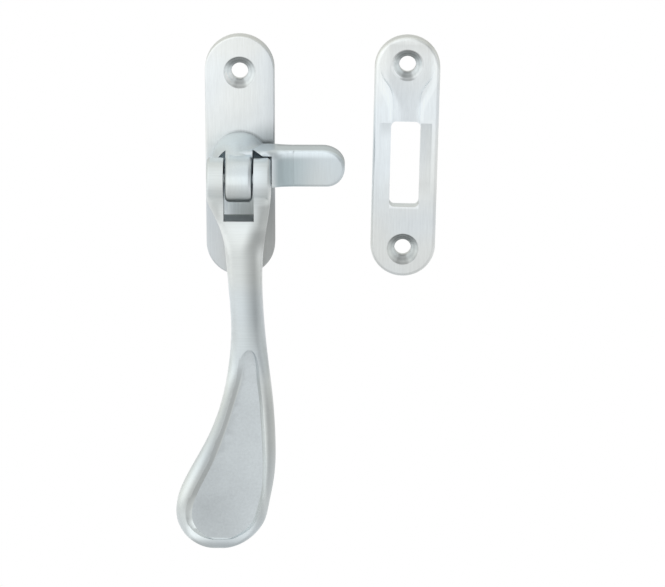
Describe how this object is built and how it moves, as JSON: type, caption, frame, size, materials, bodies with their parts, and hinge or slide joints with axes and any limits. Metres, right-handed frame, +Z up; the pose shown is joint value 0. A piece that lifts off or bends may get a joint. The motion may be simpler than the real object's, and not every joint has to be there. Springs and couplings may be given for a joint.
{
  "type": "casement fastener",
  "caption": "Casement window fastener: a nose on a swivelling hub, turned and lifted by a hinged spoon handle, with the slotted mortice plate that receives the nose.",
  "frame": {"origin": "middle of the back plate's rear face, which lies on the window sash", "axes": "+Z up along the back plate, -Y out of the wall toward the viewer, +X toward the nose's tip and the mortice plate"},
  "size_m": [0.0659, 0.0225, 0.1282],
  "materials": {
    "plate_metal": "satin, brushed lengthwise",
    "nose_metal": "satin, brushed across",
    "handle_metal": "satin, with a matt sunk panel",
    "pin_metal": "satin",
    "washer_steel": "plain"
  },
  "bodies": {
    "plates": {"back_plate": "plate_metal", "mortice_plate": "plate_metal"},
    "swivel": {"nose": "nose_metal", "spring_washer": "washer_steel", "retaining_washer": "washer_steel"},
    "lever": {"handle": "handle_metal", "hinge_pin": "pin_metal"}
  },
  "joints": [
    {"name": "nose_swivel", "type": "hinge", "parent": "plates", "child": "swivel", "pos_m": [0, 0, -0.0006], "axis": [0, 1, 0], "range_deg": [-90, 90]},
    {"name": "handle_lift", "type": "hinge", "parent": "swivel", "child": "lever", "pos_m": [0, -0.0143, -0.0028], "axis": [-1, 0, 0], "range_deg": [0, 45]}
  ]
}
